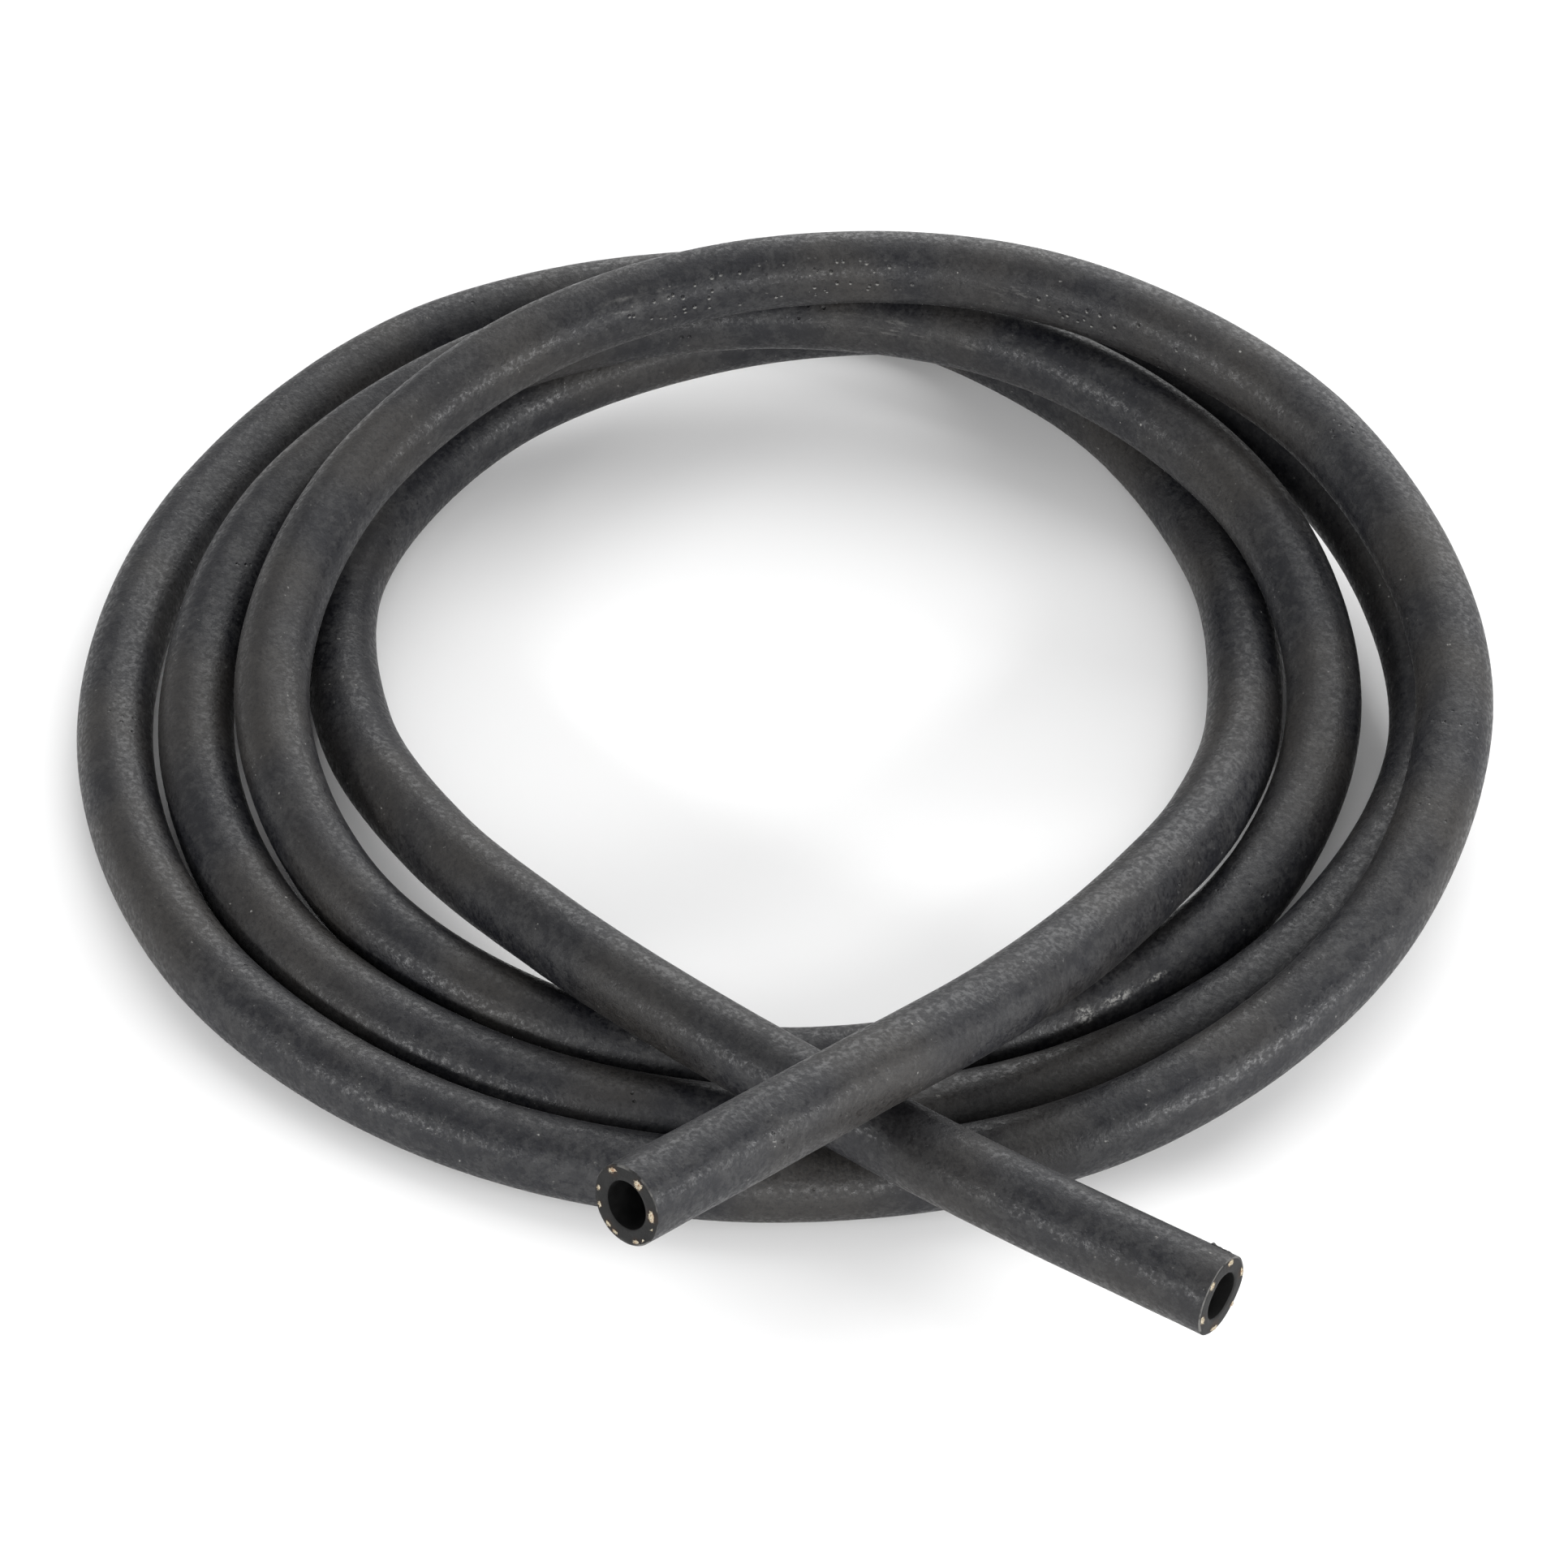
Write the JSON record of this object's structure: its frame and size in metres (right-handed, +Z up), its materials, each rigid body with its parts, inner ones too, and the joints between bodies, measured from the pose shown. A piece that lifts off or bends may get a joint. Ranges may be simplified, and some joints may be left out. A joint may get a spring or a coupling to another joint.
{
  "type": "water pump hose",
  "caption": "Length of black textile-reinforced rubber water pump hose, loosely coiled on the floor with its cut ends crossing at the front.",
  "frame": {"origin": "bottom centre of the coiled hose's bounding box, on the floor it lies on", "axes": "+Z up from the floor, +X to the right and +Y away from a viewer who sees the two cut ends in front"},
  "size_m": [0.3168, 0.3718, 0.0688],
  "materials": {
    "rubber": "matte"
  },
  "bodies": {
    "root": {"hose": "rubber"}
  },
  "joints": []
}
